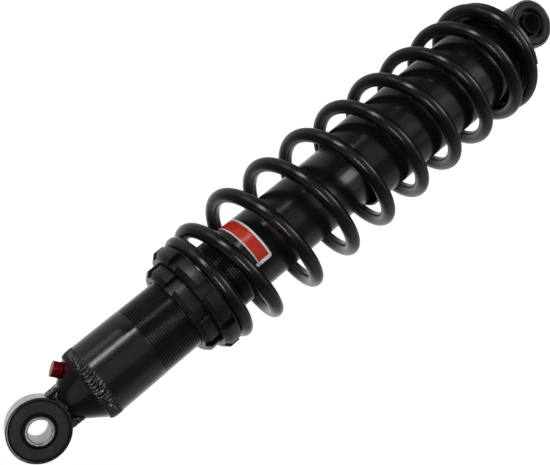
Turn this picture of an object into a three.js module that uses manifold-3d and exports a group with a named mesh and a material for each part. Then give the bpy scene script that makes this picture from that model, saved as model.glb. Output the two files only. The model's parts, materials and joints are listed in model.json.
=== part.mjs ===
// Coil-over gas shock absorber, standing on its rod end.
// Millimetres, +Z up. The origin is the centre of the lower eye, both eye bolts lie along Y,
// and the damper axis is Z: the rod end is at the bottom, the threaded body end at the top.
import * as THREE from 'three';
import { mergeVertices } from 'three/addons/utils/BufferGeometryUtils.js';
import Module from 'manifold-3d';

const wasm = await Module();
wasm.setup();

// ---------------------------------------------------------------- driving dimensions
const EYE_TO_EYE = 475;            // fully extended length between the bolt centres
const STROKE = 110;
const GAP = 0.3;                   // running and assembly clearance between separate pieces

const EYE = { outer: 19.6, bore: 17.7, width: 28 };
const BUSHING = { proud: 1.2, shoulder: 3, relief: 0.6 };
const UPPER_SLEEVE = { outer: 8.8, bore: 7, length: 34 };
const LOWER_SLEEVE = { outer: 8.8, bore: 7, length: 31 };

// The upper mount, measured down from the centre of its eye.
const CONE = { smallRadius: 9.8, smallDown: 18.5, largeRadius: 24.8, largeDown: 38.2 };
const NECK = { topDown: 9, footDown: 26.5, halfWidth: 12.6, halfThickness: 7 };
const SPIGOT = { shoulderDown: 40.9, endDown: 48, endBore: 18.5 };
const CAVITY = { topDown: 30, topRadius: 8, sideDown: 38, sideRadius: 17 };

const TUBE = { outer: 25.8, bore: 22, bottom: 188.3, top: EYE_TO_EYE - 41.2, lead: 0.8 };
const WELD = { inner: 25.1, outer: 26.3, bottom: EYE_TO_EYE - 45, top: EYE_TO_EYE - 37.8 };
const LABEL = { from: 254, to: 389, bottom: 294.7, height: 18.2 };

const ROD = { radius: 8, thread: 6, tip: 5, bottom: 23.5, collar: 50.3, shoulder: 219.4, top: 251 };
const PISTON = { radius: 21.3, bottom: 222.7, height: 14, ports: 6, portRadius: 2, portCircle: 13 };
const BAND = { bottom: 3.3, top: 3.7, depth: 1.7 };    // groove set in from the piston's two faces
const SHIMS = { radii: [10, 13, 16, 19], thickness: 0.65 };
const PISTON_NUT = { corner: 9.8, above: 3.2, height: 8 };
const BUMPER = { radius: 14, bottom: 213.5 };
const FLOAT = { radius: 21.3, bottom: 372, height: 20, wall: 3, crown: 5 };
const FLOAT_GROOVE = { bottom: 8, top: 11, depth: 1.7 };

// The seal head, with its inside steps measured up from its own lower face.
const SEAL = { bottom: 193, height: 20, pocket: 12.3, bushLow: 5, bushHigh: 14 };
const SEAL_GROOVE = { radius: 19.9, low: 8.9, high: 11.5 };
const CIRCLIP = { inner: 20, outer: 22.8, bottom: 190.4, height: 2, from: 20, to: 340 };
const CIRCLIP_GROOVE = { bottom: 190, top: 192.7, depth: 1.2 };

const SEAT_TOP = 40.4;             // face of the lower retainer that carries the spring
const RETAINER = { radius: 44.5, bottom: 36.9, slot: 12.5, slotAngle: 222, chamfer: 0.8 };
const JAM_NUT = { corner: 11, height: 7 };
const FOOT = { neck: 12.5, neckBottom: 10, flare: 29.6, shoulder: 17, shoulderBottom: 31 };
const SHIELD = { flange: 37.4, floor: 2, bottomRadius: 33.4, topRadius: 31.2, wall: 1.5, top: 201 };
const BUMP_STOP = {
  bottom: ROD.collar, top: TUBE.bottom - STROKE - GAP, radii: [18, 19.5, 16.5, 19, 16, 17.5, 15],
};

const WASHER = { outer: 38.5, bottom: EYE_TO_EYE - 133.2, height: 1.2 };
const PRELOAD = { outer: 40.3, height: 10.5, slots: 9, slotRadius: 36.7, firstSlot: 279.6 };
const LOCK = { outer: 33.6, height: 11, slots: 8, slotRadius: 30.2, firstSlot: 261.3 };
const RING = { bore: TUBE.outer + 0.4, slotWidth: 8, chamfer: 3.2, edge: 0.5 };

const WIRE = 5.08;                 // radius of the spring wire
const COIL = { mean: 43.16, endMean: 37, pitch: 36.01, stepsPerTurn: 20, halfSides: 4 };

const SCREW = { angle: 353, down: 31.5, flats: 10, height: 5, flange: 5.5, shank: 3, reach: 6 };
const SCREW_SEAT = { sink: 0.5, flangeHeight: 0.6, ringPocket: 1.8 };
const CHARGE_RING = { inner: SCREW.shank + GAP, outer: SCREW.shank + 1.9 };

const FINE = 40;                   // segments round a large turned piece
const MEDIUM = 28;
const COARSE = 20;
const ARC = 12;                    // half the segments along an arc or round the spring wire's outline

// ---------------------------------------------------------------- materials
function finish(color, roughness, metalness) {
  return new THREE.MeshStandardMaterial({ color, roughness, metalness });
}
const BLACK_PAINT = [0x151517, 0.28, 0.35];
const BLACK_COAT = [0x19191b, 0.32, 0.2];
const BLACK_ANODISED = [0x222226, 0.45, 0.7];
const RED_ANODISED = [0xb01822, 0.3, 0.8];
const ZINC = [0xb9bbbc, 0.3, 0.9];
const BLACK_OXIDE = [0x1b1b1c, 0.4, 0.8];
const CHROME = [0xd8dadd, 0.1, 1];
const ALUMINIUM = [0xb4b7ba, 0.35, 0.9];
const STEEL = [0x8d9094, 0.35, 0.9];
const RUBBER = [0x232325, 0.75, 0];
const PLASTIC = [0x1d1d1f, 0.4, 0];
const PTFE = [0x6d4a33, 0.5, 0];
const LABEL_RED = [0xc8352b, 0.35, 0];

// ---------------------------------------------------------------- small helpers
const radians = THREE.MathUtils.degToRad;

function mesh(name, geometry, look) {
  const made = new THREE.Mesh(geometry, finish(...look));
  made.name = name;
  return made;
}

// Turns an outline of [radius, height] points about the Y axis. The outline runs round the
// section, and closes on itself unless it starts and ends on the axis.
function turnAboutY(outline, segments) {
  let area = 0;
  outline.forEach(([r, z], i) => {
    const [nextR, nextZ] = outline[(i + 1) % outline.length];
    area += r * nextZ - nextR * z;
  });
  const points = outline.map(([r, z]) => new THREE.Vector2(r, z));
  if (area < 0) points.reverse();
  const onAxis = points[0].x === 0 && points[points.length - 1].x === 0;
  if (!onAxis) points.push(points[0].clone());
  return new THREE.LatheGeometry(points, segments);
}

function turnAboutZ(outline, segments) {
  return turnAboutY(outline, segments).rotateX(Math.PI / 2);
}

function rectangle(inner, outer, bottom, top) {
  return [[inner, bottom], [outer, bottom], [outer, top], [inner, top]];
}

function ring(inner, outer, bottom, top, segments) {
  return turnAboutZ(rectangle(inner, outer, bottom, top), segments);
}

// A prism standing on the Z axis with a centred round hole, such as a hexagon nut.
function drilledPrism(sides, circumradius, hole, bottom, height, holeSegments) {
  const shape = new THREE.Shape();
  for (let i = 0; i < sides; i++) {
    const turn = (i + 0.5) * 2 * Math.PI / sides;
    const x = circumradius * Math.cos(turn);
    const y = circumradius * Math.sin(turn);
    if (i === 0) shape.moveTo(x, y);
    else shape.lineTo(x, y);
  }
  shape.closePath();
  shape.holes.push(new THREE.Path().absarc(0, 0, hole, 0, 2 * Math.PI, true));
  const made = new THREE.ExtrudeGeometry(shape, {
    depth: height, bevelEnabled: false, curveSegments: holeSegments,
  });
  return made.translate(0, 0, bottom);
}

// Part of a ring, from one angle to another in degrees.
function arcPlate(inner, outer, from, to, bottom, height, segments) {
  const shape = new THREE.Shape();
  shape.absarc(0, 0, outer, radians(from), radians(to), false);
  shape.absarc(0, 0, inner, radians(to), radians(from), true);
  shape.closePath();
  const made = new THREE.ExtrudeGeometry(shape, {
    depth: height, bevelEnabled: false, curveSegments: segments,
  });
  return made.translate(0, 0, bottom);
}

// ---------------------------------------------------------------- joining and cutting
function toSolid(geometry) {
  const bare = geometry.clone();
  bare.deleteAttribute('normal');
  bare.deleteAttribute('uv');
  const merged = mergeVertices(bare, 1e-4);
  const index = merged.index.array;
  const kept = [];
  for (let i = 0; i < index.length; i += 3) {
    const [a, b, c] = [index[i], index[i + 1], index[i + 2]];
    if (a !== b && b !== c && c !== a) kept.push(a, b, c);
  }
  return new wasm.Manifold(new wasm.Mesh({
    numProp: 3,
    vertProperties: new Float32Array(merged.attributes.position.array),
    triVerts: new Uint32Array(kept),
  }));
}

function toGeometry(solid) {
  const result = solid.getMesh();
  const positions = new Float32Array(result.vertProperties);
  const geometry = new THREE.BufferGeometry();
  geometry.setAttribute('position', new THREE.BufferAttribute(positions, 3));
  geometry.setIndex(new THREE.BufferAttribute(new Uint32Array(result.triVerts), 1));
  return geometry;
}

function join(...geometries) {
  return toGeometry(geometries.map(toSolid).reduce((whole, part) => whole.add(part)));
}

function cut(geometry, ...tools) {
  const solids = tools.map(toSolid);
  return toGeometry(solids.reduce((whole, tool) => whole.subtract(tool), toSolid(geometry)));
}

// ---------------------------------------------------------------- eyes
function eyeBarrel() {
  return new THREE.CylinderGeometry(EYE.outer, EYE.outer, EYE.width, FINE);
}

function eyeBore() {
  return new THREE.CylinderGeometry(EYE.bore, EYE.bore, EYE.width + 2, FINE);
}

function bushingGeometry(sleeve) {
  const outer = EYE.bore - GAP;
  const inner = sleeve.outer + GAP;
  const face = EYE.width / 2;
  const proud = face + BUSHING.proud;
  const edge = face - BUSHING.relief;
  const shoulder = outer - BUSHING.shoulder;
  return turnAboutY([
    [inner, -face], [inner + BUSHING.proud, -proud], [shoulder, -proud], [outer, -edge],
    [outer, edge], [shoulder, proud], [inner + BUSHING.proud, proud], [inner, face],
  ], MEDIUM);
}

function sleeveGeometry(sleeve) {
  const end = sleeve.length / 2;
  return turnAboutY(rectangle(sleeve.bore, sleeve.outer, -end, end), MEDIUM);
}

// ---------------------------------------------------------------- upper mount, eye at the local origin
function coneNormalTilt() {
  const rise = CONE.largeDown - CONE.smallDown;
  return Math.atan2(CONE.largeRadius - CONE.smallRadius, rise);
}

function coneRadiusAt(down) {
  const share = (down - CONE.smallDown) / (CONE.largeDown - CONE.smallDown);
  return CONE.smallRadius + share * (CONE.largeRadius - CONE.smallRadius);
}

// Moves a piece modelled along +Z with its seat at z = 0 onto the cone, axis square to the surface.
function placeOnCone(object) {
  const turn = radians(SCREW.angle);
  const tilt = coneNormalTilt();
  const outward = new THREE.Vector3(
    Math.cos(tilt) * Math.cos(turn), Math.cos(tilt) * Math.sin(turn), Math.sin(tilt));
  const radius = coneRadiusAt(SCREW.down) - SCREW_SEAT.sink;
  object.applyQuaternion(new THREE.Quaternion().setFromUnitVectors(new THREE.Vector3(0, 0, 1), outward));
  object.translate(radius * Math.cos(turn), radius * Math.sin(turn), -SCREW.down);
  return object;
}

// A round or many-sided bar along Z.
function bar(radius, bottom, top, segments) {
  const made = new THREE.CylinderGeometry(radius, radius, top - bottom, segments);
  return made.rotateX(Math.PI / 2).translate(0, 0, (bottom + top) / 2);
}

function upperMountGeometry() {
  const spigot = TUBE.bore - GAP;
  const body = turnAboutZ([
    [0, -CAVITY.topDown], [CAVITY.topRadius, -CAVITY.topDown], [CAVITY.sideRadius, -CAVITY.sideDown],
    [SPIGOT.endBore, -SPIGOT.endDown], [spigot, -SPIGOT.endDown], [spigot, -SPIGOT.shoulderDown],
    [CONE.largeRadius, -SPIGOT.shoulderDown], [CONE.largeRadius, -CONE.largeDown],
    [CONE.smallRadius, -CONE.smallDown], [CONE.smallRadius, -NECK.topDown], [0, -NECK.topDown],
  ], FINE);
  const { topDown, footDown, halfWidth, halfThickness } = NECK;
  const slab = new THREE.BoxGeometry(2 * halfWidth, 2 * halfThickness, footDown - topDown);
  slab.translate(0, 0, -(topDown + footDown) / 2);
  const seat = placeOnCone(bar(SCREW.flange + 0.5, 0, 8, COARSE));
  const hole = placeOnCone(bar(CHARGE_RING.inner, -12, 1, COARSE));
  const pocket = placeOnCone(bar(CHARGE_RING.outer + GAP, -SCREW_SEAT.ringPocket, 1, COARSE));
  return cut(join(body, slab, eyeBarrel()), eyeBore(), seat, hole, pocket);
}

function chargeScrewGeometry() {
  const corner = SCREW.flats / 2 / Math.cos(Math.PI / 6);
  const under = GAP + SCREW_SEAT.flangeHeight;
  const head = bar(corner, under, under + SCREW.height, 6);
  const flange = bar(SCREW.flange, GAP, under + 0.1, COARSE);
  const shank = bar(SCREW.shank, GAP - SCREW.reach, under, COARSE);
  return placeOnCone(join(head, flange, shank));
}

function chargeRingGeometry() {
  return placeOnCone(ring(CHARGE_RING.inner, CHARGE_RING.outer, GAP - SCREW_SEAT.ringPocket, 0, COARSE));
}

function weldBeadGeometry() {
  const { inner, outer, bottom, top } = WELD;
  return turnAboutZ([
    [inner, bottom], [outer - 0.4, bottom], [outer, bottom + 1],
    [outer, top - 1.5], [outer - 0.6, top], [inner, top],
  ], FINE).translate(0, 0, -EYE_TO_EYE);
}

// ---------------------------------------------------------------- threaded rings
// A ring with square slots milled across its rim, chamfered round its upper edge.
function slottedRing(size, bottom) {
  const top = bottom + size.height;
  const blank = turnAboutZ([
    [RING.bore, bottom], [size.outer - RING.edge, bottom], [size.outer, bottom + RING.edge],
    [size.outer, top - RING.chamfer], [size.outer - RING.chamfer, top], [RING.bore, top],
  ], FINE);
  const depth = size.outer - size.slotRadius + 2;
  const tools = [];
  for (let i = 0; i < size.slots; i++) {
    const tool = new THREE.BoxGeometry(depth, RING.slotWidth, size.height + 4);
    tool.translate(size.slotRadius + depth / 2, 0, bottom + size.height / 2);
    tool.rotateZ(radians(size.firstSlot + i * 360 / size.slots));
    tools.push(tool);
  }
  return cut(blank, ...tools);
}

// ---------------------------------------------------------------- coil spring
// Turns are counted downwards, from the first full-size coil. Both end coils lie flat: the wire
// leaves each flat coil along a smooth ramp, and the top end is wound down to a smaller diameter.
const SPRING = {
  firstTurn: -2, topFlat: -1.8, topRamp: 0, bottomRamp: 6.1, bottomFlat: 7.4, lastTurn: 7.62,
  topHeight: WASHER.bottom - GAP - WIRE, bottomHeight: SEAT_TOP + GAP + WIRE, rampHeight: 292.8,
  startAngle: 9,
};

// Height of a point on a cubic ramp from (u0, h0) with slope s0 to (u1, h1) with slope s1.
function rampHeight(u, [u0, h0, s0], [u1, h1, s1]) {
  const t = (u - u0) / (u1 - u0);
  const width = u1 - u0;
  return h0 * (2 * t ** 3 - 3 * t ** 2 + 1) + h1 * (3 * t ** 2 - 2 * t ** 3)
    + s0 * width * (t ** 3 - 2 * t ** 2 + t) + s1 * width * (t ** 3 - t ** 2);
}

function wireHeight(turn) {
  const s = SPRING;
  if (turn <= s.topFlat) return s.topHeight;
  if (turn >= s.bottomFlat) return s.bottomHeight;
  const free = (u) => s.rampHeight - COIL.pitch * u;
  if (turn < s.topRamp) {
    return rampHeight(turn, [s.topFlat, s.topHeight, 0], [s.topRamp, free(s.topRamp), -COIL.pitch]);
  }
  if (turn > s.bottomRamp) {
    const start = [s.bottomRamp, free(s.bottomRamp), -COIL.pitch];
    return rampHeight(turn, start, [s.bottomFlat, s.bottomHeight, 0]);
  }
  return free(turn);
}

function wireRadius(turn) {
  const share = THREE.MathUtils.smoothstep(turn, -1.6, 0.15);
  return COIL.endMean + share * (COIL.mean - COIL.endMean);
}

class CoilPath extends THREE.Curve {
  getPoint(t, target = new THREE.Vector3()) {
    const turn = SPRING.firstTurn + t * (SPRING.lastTurn - SPRING.firstTurn);
    const angle = radians(SPRING.startAngle) - 2 * Math.PI * turn;
    const radius = wireRadius(turn);
    return target.set(radius * Math.cos(angle), radius * Math.sin(angle), wireHeight(turn));
  }
}

function coilSpringGeometry() {
  const section = new THREE.Shape();
  section.absarc(0, 0, WIRE, 0, 2 * Math.PI, false);
  const steps = Math.round((SPRING.lastTurn - SPRING.firstTurn) * COIL.stepsPerTurn);
  return new THREE.ExtrudeGeometry(section, {
    steps, curveSegments: COIL.halfSides, bevelEnabled: false, extrudePath: new CoilPath(),
  });
}

// ---------------------------------------------------------------- rod side
function lowerMountGeometry() {
  const seat = RETAINER.bottom - GAP;
  const spigot = RETAINER.slot - GAP;
  const pocket = ROD.thread + GAP;
  const pocketBottom = ROD.bottom - 0.5;
  const body = turnAboutZ([
    [0, FOOT.neckBottom], [FOOT.neck, FOOT.neckBottom], [FOOT.neck, FOOT.flare],
    [FOOT.shoulder, FOOT.shoulderBottom], [FOOT.shoulder, seat], [spigot, seat], [spigot, SEAT_TOP],
    [pocket, SEAT_TOP], [pocket, pocketBottom], [0, pocketBottom],
  ], FINE);
  return cut(join(body, eyeBarrel()), eyeBore());
}

function damperRodGeometry() {
  const chamfer = 0.5;
  return turnAboutZ([
    [0, ROD.bottom], [ROD.thread, ROD.bottom], [ROD.thread, ROD.collar], [ROD.radius, ROD.collar],
    [ROD.radius, ROD.shoulder], [ROD.tip, ROD.shoulder], [ROD.tip, ROD.top - chamfer],
    [ROD.tip - chamfer, ROD.top], [0, ROD.top],
  ], COARSE);
}

function lowerRetainerGeometry() {
  const { radius, bottom, chamfer } = RETAINER;
  const plate = turnAboutZ([
    [RETAINER.slot, bottom], [radius - chamfer, bottom], [radius, bottom + chamfer],
    [radius, SEAT_TOP], [RETAINER.slot, SEAT_TOP],
  ], FINE);
  const reach = 60;
  const slot = new THREE.BoxGeometry(reach, 2 * RETAINER.slot, 12);
  slot.translate(reach / 2, 0, SEAT_TOP).rotateZ(radians(RETAINER.slotAngle));
  return cut(plate, slot);
}

function dustShieldGeometry() {
  const { flange, floor, bottomRadius, topRadius, wall, top } = SHIELD;
  const bottom = SEAT_TOP + GAP;
  const inner = ROD.thread + GAP;
  return turnAboutZ([
    [inner, bottom], [flange, bottom], [flange, bottom + floor], [bottomRadius, bottom + floor],
    [topRadius, top], [topRadius - wall, top],
    [bottomRadius - wall, bottom + floor], [inner, bottom + floor],
  ], FINE);
}

function bumpStopGeometry() {
  const { bottom, top, radii } = BUMP_STOP;
  const inner = ROD.radius + 0.4;
  const step = (top - bottom) / (radii.length - 1);
  const outside = radii.map((radius, i) => [radius, bottom + i * step]);
  return turnAboutZ([[inner, bottom], ...outside, [inner, top]], COARSE);
}

function mainPistonGeometry() {
  const { radius, bottom, height } = PISTON;
  const groove = radius - BAND.depth;
  const top = bottom + height;
  const inner = ROD.tip + GAP;
  const body = turnAboutZ([
    [inner, bottom], [radius, bottom], [radius, bottom + BAND.bottom], [groove, bottom + BAND.bottom],
    [groove, top - BAND.top], [radius, top - BAND.top], [radius, top], [inner, top],
  ], MEDIUM);
  const ports = [];
  for (let i = 0; i < PISTON.ports; i++) {
    const port = bar(PISTON.portRadius, bottom - 1, top + 1, ARC).translate(PISTON.portCircle, 0, 0);
    ports.push(port.rotateZ(i * 2 * Math.PI / PISTON.ports));
  }
  return cut(body, ...ports);
}

function pistonBandGeometry() {
  const { radius, bottom, height } = PISTON;
  const inner = radius - BAND.depth + GAP;
  return ring(inner, radius + 0.4, bottom + BAND.bottom + GAP, bottom + height - BAND.top - GAP, MEDIUM);
}

// A stack of thin discs round the rod's tip, given from the lowest up.
function shimStack(bottom, radii) {
  const inner = ROD.tip + GAP;
  const outline = [[inner, bottom]];
  radii.forEach((radius, i) => {
    outline.push([radius, bottom + i * SHIMS.thickness], [radius, bottom + (i + 1) * SHIMS.thickness]);
  });
  outline.push([inner, bottom + radii.length * SHIMS.thickness]);
  return turnAboutZ(outline, COARSE);
}

// ---------------------------------------------------------------- body side
function damperTubeGeometry() {
  const { outer, bore, bottom, top, lead } = TUBE;
  const land = WELD.inner - GAP;
  const landBottom = WELD.bottom - GAP;
  const groove = bore + CIRCLIP_GROOVE.depth;
  return turnAboutZ([
    [bore, bottom], [outer - lead, bottom], [outer, bottom + lead], [outer, landBottom],
    [land, landBottom], [land, top], [bore, top], [bore, CIRCLIP_GROOVE.top], [groove, CIRCLIP_GROOVE.top],
    [groove, CIRCLIP_GROOVE.bottom], [bore, CIRCLIP_GROOVE.bottom],
  ], FINE);
}

function sealHeadGeometry() {
  const { bottom, height, pocket, bushLow, bushHigh } = SEAL;
  const { radius, low, high } = SEAL_GROOVE;
  const outer = TUBE.bore - GAP;
  const bush = ROD.radius + 1.4;
  const top = bottom + height;
  return turnAboutZ([
    [pocket, bottom], [outer, bottom], [outer, bottom + low], [radius, bottom + low],
    [radius, bottom + high], [outer, bottom + high], [outer, top], [pocket, top], [pocket, bottom + bushHigh],
    [bush, bottom + bushHigh], [bush, bottom + bushLow], [pocket, bottom + bushLow],
  ], MEDIUM);
}

// An O-ring as a plain ring, GAP clear of its groove on three sides and proud of its outer edge.
function grooveRing(groove, outer, low, high) {
  return ring(groove + GAP, outer, low + 0.4, high - 0.4, MEDIUM);
}

function floatingPistonGeometry() {
  const { radius, bottom, height, wall, crown } = FLOAT;
  const top = bottom + height;
  const groove = radius - FLOAT_GROOVE.depth;
  const low = bottom + FLOAT_GROOVE.bottom;
  const high = bottom + FLOAT_GROOVE.top;
  return turnAboutZ([
    [0, bottom], [radius, bottom], [radius, low], [groove, low], [groove, high], [radius, high],
    [radius, top], [radius - wall, top], [radius - wall, bottom + crown], [0, bottom + crown],
  ], MEDIUM);
}

// ---------------------------------------------------------------- assembly
const shock = new THREE.Group();

const upperEnd = new THREE.Group();
upperEnd.position.z = EYE_TO_EYE;
upperEnd.add(
  mesh('upper_mount', upperMountGeometry(), BLACK_PAINT),
  mesh('weld_bead', weldBeadGeometry(), BLACK_PAINT),
  mesh('upper_bushing', bushingGeometry(UPPER_SLEEVE), RUBBER),
  mesh('upper_sleeve', sleeveGeometry(UPPER_SLEEVE), ZINC),
  mesh('charge_screw', chargeScrewGeometry(), RED_ANODISED),
  mesh('charge_screw_oring', chargeRingGeometry(), RUBBER),
);

const jamNut = drilledPrism(
  6, JAM_NUT.corner, ROD.thread + GAP, SEAT_TOP + SHIELD.floor + 2 * GAP, JAM_NUT.height, 6);
const lowerEnd = new THREE.Group();
lowerEnd.add(
  mesh('lower_mount', lowerMountGeometry(), BLACK_PAINT),
  mesh('lower_bushing', bushingGeometry(LOWER_SLEEVE), RUBBER),
  mesh('lower_sleeve', sleeveGeometry(LOWER_SLEEVE), BLACK_OXIDE),
  mesh('lower_retainer', lowerRetainerGeometry(), BLACK_COAT),
  mesh('dust_shield', dustShieldGeometry(), PLASTIC),
  mesh('jam_nut', jamNut, STEEL),
  mesh('bump_stop', bumpStopGeometry(), RUBBER),
);

const pistonTop = PISTON.bottom + PISTON.height;
const pistonNut = drilledPrism(
  6, PISTON_NUT.corner, ROD.tip + GAP, pistonTop + PISTON_NUT.above, PISTON_NUT.height, 6);
const cushion = ring(ROD.radius + 0.4, BUMPER.radius, BUMPER.bottom, ROD.shoulder, COARSE);
const rodGroup = new THREE.Group();
rodGroup.add(
  mesh('damper_rod', damperRodGeometry(), CHROME),
  mesh('top_out_bumper', cushion, RUBBER),
  mesh('rebound_shim_stack', shimStack(ROD.shoulder + GAP, SHIMS.radii), STEEL),
  mesh('main_piston', mainPistonGeometry(), ALUMINIUM),
  mesh('piston_band', pistonBandGeometry(), PTFE),
  mesh('compression_shim_stack', shimStack(pistonTop + GAP, SHIMS.radii.toReversed()), STEEL),
  mesh('piston_nut', pistonNut, STEEL),
);

const sealBore = ROD.radius + 0.25;
const sealOuter = SEAL.pocket - GAP;
const bushBottom = SEAL.bottom + SEAL.bushLow + 0.6;
const bushTop = SEAL.bottom + SEAL.bushHigh - 0.5;
const headRing = grooveRing(
  SEAL_GROOVE.radius, TUBE.bore - GAP, SEAL.bottom + SEAL_GROOVE.low, SEAL.bottom + SEAL_GROOVE.high);
const floatRing = grooveRing(
  FLOAT.radius - FLOAT_GROOVE.depth, TUBE.bore - GAP,
  FLOAT.bottom + FLOAT_GROOVE.bottom, FLOAT.bottom + FLOAT_GROOVE.top);
const clip = arcPlate(
  CIRCLIP.inner, CIRCLIP.outer, CIRCLIP.from, CIRCLIP.to, CIRCLIP.bottom, CIRCLIP.height, ARC);
const sticker = arcPlate(
  TUBE.outer + GAP, TUBE.outer + 2 * GAP, LABEL.from, LABEL.to, LABEL.bottom, LABEL.height, ARC);
const wiper = ring(sealBore, sealOuter, SEAL.bottom + GAP, SEAL.bottom + SEAL.bushLow - 0.4, COARSE);
const lip = { bottom: SEAL.bottom + SEAL.bushHigh + 0.4, top: SEAL.bottom + SEAL.height - 1 };
const rodSeal = ring(sealBore, sealOuter, lip.bottom, lip.top, COARSE);
const bodyGroup = new THREE.Group();
bodyGroup.add(
  mesh('damper_tube', damperTubeGeometry(), BLACK_PAINT),
  mesh('seal_head', sealHeadGeometry(), ALUMINIUM),
  mesh('seal_head_oring', headRing, RUBBER),
  mesh('seal_head_circlip', clip, STEEL),
  mesh('rod_wiper', wiper, RUBBER),
  mesh('rod_guide_bush', ring(ROD.radius + 0.2, ROD.radius + 1.1, bushBottom, bushTop, COARSE), PTFE),
  mesh('rod_seal', rodSeal, RUBBER),
  mesh('floating_piston', floatingPistonGeometry(), ALUMINIUM),
  mesh('floating_piston_oring', floatRing, RUBBER),
  mesh('label', sticker, LABEL_RED),
);

const washerTop = WASHER.bottom + WASHER.height;
const preloadBottom = washerTop + GAP;
const lockBottom = preloadBottom + PRELOAD.height + GAP;
const springGroup = new THREE.Group();
springGroup.add(
  mesh('coil_spring', coilSpringGeometry(), BLACK_COAT),
  mesh('thrust_washer', ring(RING.bore, WASHER.outer, WASHER.bottom, washerTop, FINE), PLASTIC),
  mesh('preload_ring', slottedRing(PRELOAD, preloadBottom), BLACK_ANODISED),
  mesh('lock_ring', slottedRing(LOCK, lockBottom), BLACK_ANODISED),
);

shock.add(upperEnd, lowerEnd, rodGroup, bodyGroup, springGroup);

export default shock;
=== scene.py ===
import json
import math

import bmesh
import bpy
import numpy as np
from mathutils import Matrix, Vector, noise


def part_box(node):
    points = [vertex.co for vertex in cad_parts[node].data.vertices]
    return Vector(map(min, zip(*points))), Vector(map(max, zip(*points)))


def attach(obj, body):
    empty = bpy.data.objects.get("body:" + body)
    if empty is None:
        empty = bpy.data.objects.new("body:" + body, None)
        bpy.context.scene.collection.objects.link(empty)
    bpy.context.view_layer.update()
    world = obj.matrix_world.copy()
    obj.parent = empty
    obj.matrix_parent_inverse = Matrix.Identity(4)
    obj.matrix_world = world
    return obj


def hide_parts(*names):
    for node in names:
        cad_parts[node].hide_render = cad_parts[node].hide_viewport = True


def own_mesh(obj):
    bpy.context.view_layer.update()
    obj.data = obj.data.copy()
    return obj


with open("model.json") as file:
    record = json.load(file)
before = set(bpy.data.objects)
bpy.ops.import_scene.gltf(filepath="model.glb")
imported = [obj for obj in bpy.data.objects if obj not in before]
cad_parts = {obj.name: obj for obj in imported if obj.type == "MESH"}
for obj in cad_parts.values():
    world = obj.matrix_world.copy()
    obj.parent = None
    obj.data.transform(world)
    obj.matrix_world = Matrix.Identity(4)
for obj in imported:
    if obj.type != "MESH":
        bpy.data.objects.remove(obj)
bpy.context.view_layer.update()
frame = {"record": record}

MM = 0.001                      # outlines below are in millimetres; meshes are in metres
TAU = 2 * math.pi

# ---------------------------------------------------------------- places read from the frame


def low(node):
    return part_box(node)[0] / MM


def high(node):
    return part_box(node)[1] / MM


def middle(node):
    return (low(node) + high(node)) / 2


UPPER_EYE = middle("upper_sleeve").z
TUBE_BOTTOM, TUBE_TOP = low("damper_tube").z, high("damper_tube").z
TUBE_RADIUS = high("damper_tube").x
TUBE_BORE = 22.0
LAND_RADIUS = 24.8              # the tube's narrower end under the weld bead
RING_BORE = 26.2                # of the two slotted rings and their washer
SEAT = high("lower_retainer").z
SPRING_BOTTOM, SPRING_TOP = low("coil_spring").z, high("coil_spring").z


def direction(azimuth, elevation):
    """The unit vector at an azimuth round Z and an elevation above the ground, both in radians."""
    level = math.cos(elevation)
    return Vector((level * math.cos(azimuth), level * math.sin(azimuth), math.sin(elevation)))


# ---------------------------------------------------------------- outlines


def soften(outline, fillet, steps=4):
    """A closed outline with its corners rounded. A point may carry its own radius as a third number."""
    count = len(outline)
    made = []
    for i, point in enumerate(outline):
        here = np.array(point[:2], float)
        before = np.array(outline[i - 1][:2], float) - here
        after = np.array(outline[(i + 1) % count][:2], float) - here
        radius = point[2] if len(point) > 2 else fillet
        len_before, len_after = np.linalg.norm(before), np.linalg.norm(after)
        cosine = np.dot(before, after) / (len_before * len_after)
        opening = math.acos(max(-1.0, min(1.0, cosine)))
        if radius <= 0 or here[0] < 1e-6 or opening > math.radians(176):
            made.append(tuple(here))
            continue
        reach = min(radius / math.tan(opening / 2), 0.45 * len_before, 0.45 * len_after)
        start = here + before / len_before * reach
        end = here + after / len_after * reach
        for k in range(steps + 1):
            t = k / steps
            made.append(tuple((1 - t) ** 2 * start + 2 * t * (1 - t) * here + t * t * end))
    return made


def signed_area(outline):
    area = 0.0
    for i, (r, z) in enumerate(outline):
        next_r, next_z = outline[(i + 1) % len(outline)][:2]
        area += r * next_z - next_r * z
    return area


def box_outline(inner, outer, bottom, top):
    return [(inner, bottom), (outer, bottom), (outer, top), (inner, top)]


# ---------------------------------------------------------------- meshes


def new_object(name, verts, faces, smooth_angle=32):
    mesh = bpy.data.meshes.new(name)
    mesh.from_pydata([tuple(v) for v in verts], [], faces)
    mesh.validate()
    mesh.update()
    made = bpy.data.objects.new(name, mesh)
    bpy.context.scene.collection.objects.link(made)
    shade(made, smooth_angle)
    return made


def shade(made, smooth_angle=32):
    mesh = made.data
    mesh.polygons.foreach_set("use_smooth", [True] * len(mesh.polygons))
    mesh.set_sharp_from_angle(angle=math.radians(smooth_angle))
    return made


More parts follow.
